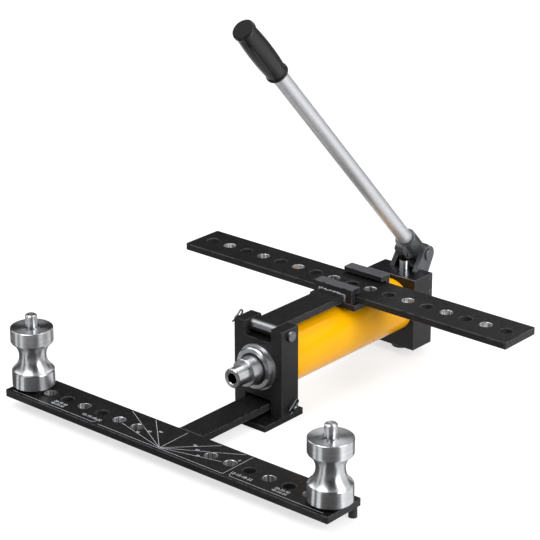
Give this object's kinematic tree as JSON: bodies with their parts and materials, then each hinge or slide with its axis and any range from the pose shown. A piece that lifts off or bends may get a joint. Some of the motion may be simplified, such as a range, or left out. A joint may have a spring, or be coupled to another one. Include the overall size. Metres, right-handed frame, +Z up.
{
  "type": "pipe bender",
  "caption": "Hydraulic bench pipe bender: hand-pumped ram, T-shaped lower frame with grooved end rollers, and an upper frame that folds over the work with a drilled sliding bar.",
  "frame": {"origin": "on the floor, below the middle of the machine's length and width", "axes": "+Z up, +X along the two bars, +Y from the ram's nose towards the pump; the ram pushes along -Y"},
  "size_m": [0.712, 0.6894, 0.6796],
  "materials": {
    "black_paint": "satin",
    "turned_steel": "turned, semi-bright",
    "spring_steel": "phosphated",
    "zinc_steel": "zinc plated",
    "cast_paint": "cast, phosphated",
    "yellow_paint": "gloss",
    "aluminium": "drawn tube, satin",
    "chrome": "hard chrome",
    "rubber": "matt",
    "black_plastic": "matt"
  },
  "bodies": {
    "base": {"lower_frame": "black_paint", "front_feet": "rubber", "base_plate": "black_paint", "base_screws": "zinc_steel", "head_block": "black_paint", "lower_pin": "turned_steel", "lower_pin_clip": "spring_steel", "upper_pin": "turned_steel", "upper_pin_clip": "spring_steel", "cylinder_tube": "yellow_paint", "gland_nut": "turned_steel", "rod_wiper": "rubber", "pump_block": "black_paint", "rear_foot": "rubber", "filler_plug": "zinc_steel", "plunger_gland": "black_paint", "cheek_left": "cast_paint", "cheek_right": "cast_paint", "cheek_screws": "zinc_steel", "fulcrum_pin": "cast_paint", "roller_pin_left": "turned_steel", "roller_pin_right": "turned_steel", "thrust_washers": "turned_steel", "retaining_rings": "spring_steel"},
    "ram": {"ram": "turned_steel", "piston": "turned_steel", "piston_seal": "rubber", "piston_nut": "zinc_steel"},
    "upper_frame": {"upper_stem": "black_paint", "support_plate": "black_paint", "hook_front": "black_paint", "hook_rear": "black_paint"},
    "upper_bar": {"upper_bar": "black_paint"},
    "roller_left": {"roller_left": "turned_steel"},
    "roller_right": {"roller_right": "turned_steel"},
    "lever": {"lever_socket": "cast_paint", "set_screw": "zinc_steel", "lever_tube": "aluminium", "lever_grip": "rubber"},
    "plunger": {"plunger": "chrome", "plunger_pin": "turned_steel"},
    "release_valve": {"release_valve": "black_plastic"}
  },
  "joints": [
    {"name": "upper_fold", "type": "hinge", "parent": "base", "child": "upper_frame", "pos_m": [0, -0.07825, 0.15225], "axis": [1, 0, 0], "range_deg": [0, 180]},
    {"name": "bar_slide", "type": "slide", "parent": "upper_frame", "child": "upper_bar", "axis": [1, 0, 0], "range_m": [-0.12, 0.12]},
    {"name": "ram_slide", "type": "slide", "parent": "base", "child": "ram", "axis": [0, -1, 0], "range_m": [0, 0.24]},
    {"name": "roller_left_spin", "type": "hinge", "parent": "base", "child": "roller_left", "pos_m": [-0.32, -0.30375, 0.0863], "axis": [0, 0, 1], "continuous": true},
    {"name": "roller_right_spin", "type": "hinge", "parent": "base", "child": "roller_right", "pos_m": [0.32, -0.30375, 0.0863], "axis": [0, 0, 1], "continuous": true},
    {"name": "lever_swing", "type": "hinge", "parent": "base", "child": "lever", "pos_m": [0, 0.32725, 0.1693], "axis": [1, 0, 0], "range_deg": [-18, 32]},
    {"name": "plunger_stroke", "type": "slide", "parent": "base", "child": "plunger", "axis": [0, 0, 1], "range_m": [-0.0184, 0.0104]},
    {"name": "valve_turn", "type": "hinge", "parent": "base", "child": "release_valve", "pos_m": [-0.0525, 0.283, 0.071], "axis": [1, 0, 0], "range_deg": [0, 270]}
  ],
  "couplings": [
    {"joint": "plunger_stroke", "follows": "lever_swing", "m_per_rad": -0.0326}
  ]
}
